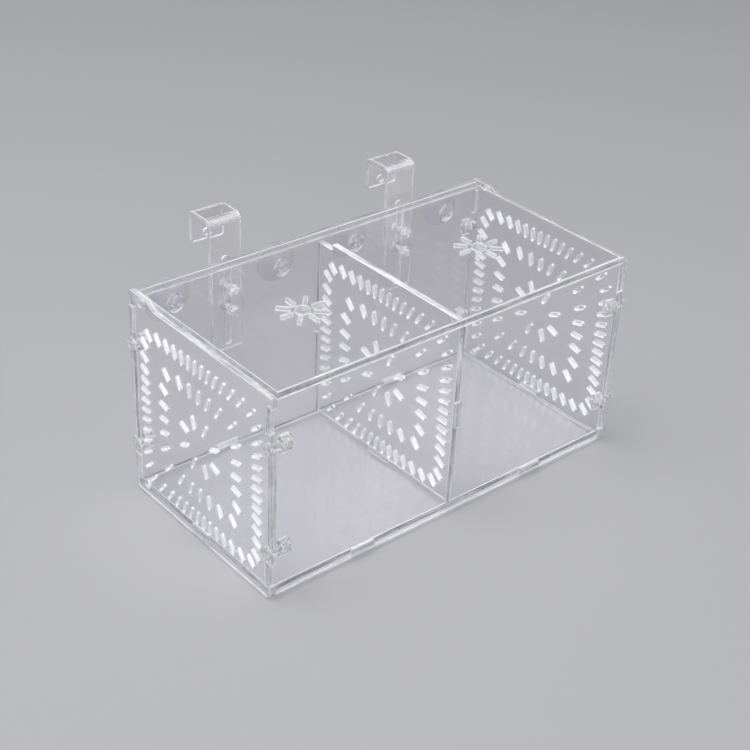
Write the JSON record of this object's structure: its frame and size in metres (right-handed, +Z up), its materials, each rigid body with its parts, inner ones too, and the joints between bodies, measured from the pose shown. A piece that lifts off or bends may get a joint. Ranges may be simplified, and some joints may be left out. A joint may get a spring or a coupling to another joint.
{
  "type": "fish breeding box",
  "caption": "Clear acrylic fish breeding box with slotted end panels and divider, a hinged lid with flower-shaped vents, rim hooks with thumbscrews, and suction cups.",
  "frame": {"origin": "under the middle of the bounding box, in the plane of the feet", "axes": "+X along the box, +Y towards the hooks and the tank's rim, +Z up"},
  "size_m": [0.2014, 0.1185, 0.12],
  "materials": {
    "clear_acrylic": "clear, polished faces and frosted laser-cut edges",
    "clear_screw_plastic": "clear moulded",
    "soft_clear_vinyl": "soft, clear, faintly lilac"
  },
  "bodies": {
    "box": {"front_panel": "clear_acrylic", "back_panel": "clear_acrylic", "floor_panel": "clear_acrylic", "divider_panel": "clear_acrylic", "left_end_panel": "clear_acrylic", "right_end_panel": "clear_acrylic", "left_front_lower_corner_screw": "clear_screw_plastic", "left_front_upper_corner_screw": "clear_screw_plastic", "left_back_lower_corner_screw": "clear_screw_plastic", "left_back_upper_corner_screw": "clear_screw_plastic", "right_front_lower_corner_screw": "clear_screw_plastic", "right_front_upper_corner_screw": "clear_screw_plastic", "right_back_lower_corner_screw": "clear_screw_plastic", "right_back_upper_corner_screw": "clear_screw_plastic", "left_front_lower_corner_nut": "clear_screw_plastic", "left_front_upper_corner_nut": "clear_screw_plastic", "left_back_lower_corner_nut": "clear_screw_plastic", "left_back_upper_corner_nut": "clear_screw_plastic", "right_front_lower_corner_nut": "clear_screw_plastic", "right_front_upper_corner_nut": "clear_screw_plastic", "right_back_lower_corner_nut": "clear_screw_plastic", "right_back_upper_corner_nut": "clear_screw_plastic", "left_lower_thumb_nut": "clear_screw_plastic", "left_upper_thumb_nut": "clear_screw_plastic", "right_lower_thumb_nut": "clear_screw_plastic", "right_upper_thumb_nut": "clear_screw_plastic", "suction_cup_1": "soft_clear_vinyl", "suction_cup_2": "soft_clear_vinyl", "suction_cup_3": "soft_clear_vinyl", "suction_cup_4": "soft_clear_vinyl"},
    "lid": {"lid_panel": "clear_acrylic"},
    "left_hook": {"left_hook": "clear_acrylic"},
    "left_lower_thumbscrew": {"left_lower_thumbscrew": "clear_screw_plastic"},
    "left_upper_thumbscrew": {"left_upper_thumbscrew": "clear_screw_plastic"},
    "right_hook": {"right_hook": "clear_acrylic"},
    "right_lower_thumbscrew": {"right_lower_thumbscrew": "clear_screw_plastic"},
    "right_upper_thumbscrew": {"right_upper_thumbscrew": "clear_screw_plastic"}
  },
  "joints": [
    {"name": "lid_hinge", "type": "hinge", "parent": "box", "child": "lid", "pos_m": [0, 0.0339, 0.0983], "axis": [-1, 0, 0], "range_deg": [0, 95]},
    {"name": "left_hook_slide", "type": "slide", "parent": "box", "child": "left_hook", "axis": [0, 0, 1], "range_m": [-0.0146, 0.0171]},
    {"name": "left_lower_thumbscrew_turn", "type": "hinge", "parent": "box", "child": "left_lower_thumbscrew", "pos_m": [-0.05, 0.0385, 0.0746], "axis": [0, 1, 0], "continuous": true},
    {"name": "left_upper_thumbscrew_turn", "type": "hinge", "parent": "box", "child": "left_upper_thumbscrew", "pos_m": [-0.05, 0.0385, 0.0846], "axis": [0, 1, 0], "continuous": true},
    {"name": "right_hook_slide", "type": "slide", "parent": "box", "child": "right_hook", "axis": [0, 0, 1], "range_m": [-0.0146, 0.0171]},
    {"name": "right_lower_thumbscrew_turn", "type": "hinge", "parent": "box", "child": "right_lower_thumbscrew", "pos_m": [0.05, 0.0385, 0.0746], "axis": [0, 1, 0], "continuous": true},
    {"name": "right_upper_thumbscrew_turn", "type": "hinge", "parent": "box", "child": "right_upper_thumbscrew", "pos_m": [0.05, 0.0385, 0.0846], "axis": [0, 1, 0], "continuous": true}
  ]
}
